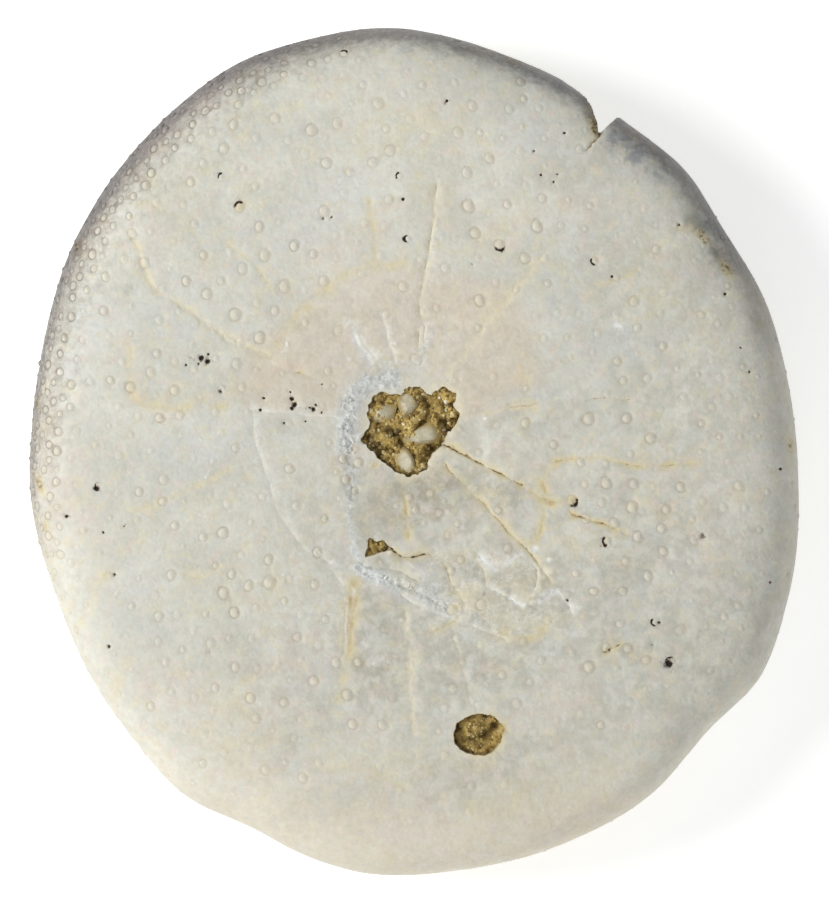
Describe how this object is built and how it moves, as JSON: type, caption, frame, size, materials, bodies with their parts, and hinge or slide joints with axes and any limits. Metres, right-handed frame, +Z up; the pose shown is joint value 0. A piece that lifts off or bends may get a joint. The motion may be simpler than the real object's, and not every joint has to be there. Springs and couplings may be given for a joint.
{
  "type": "sand dollar",
  "caption": "Flat oval sand dollar test lying mouth side up, its mouth, vent and a small chip packed with sand and pale grains.",
  "frame": {"origin": "on the resting plane, under the middle of the test's outline", "axes": "+Z up, out of the mouth side; +Y along the length, from the vent towards the front edge; +X to the right seen from above"},
  "size_m": [0.0498, 0.055, 0.009],
  "materials": {
    "shell": "satin",
    "sand": "matte",
    "grain": "satin"
  },
  "bodies": {
    "root": {"test": "shell", "mouth_sand": "sand", "vent_sand": "sand", "chip_sand": "sand", "mouth_grain_1": "grain", "mouth_grain_2": "grain", "mouth_grain_3": "grain", "mouth_grain_4": "grain"}
  },
  "joints": []
}
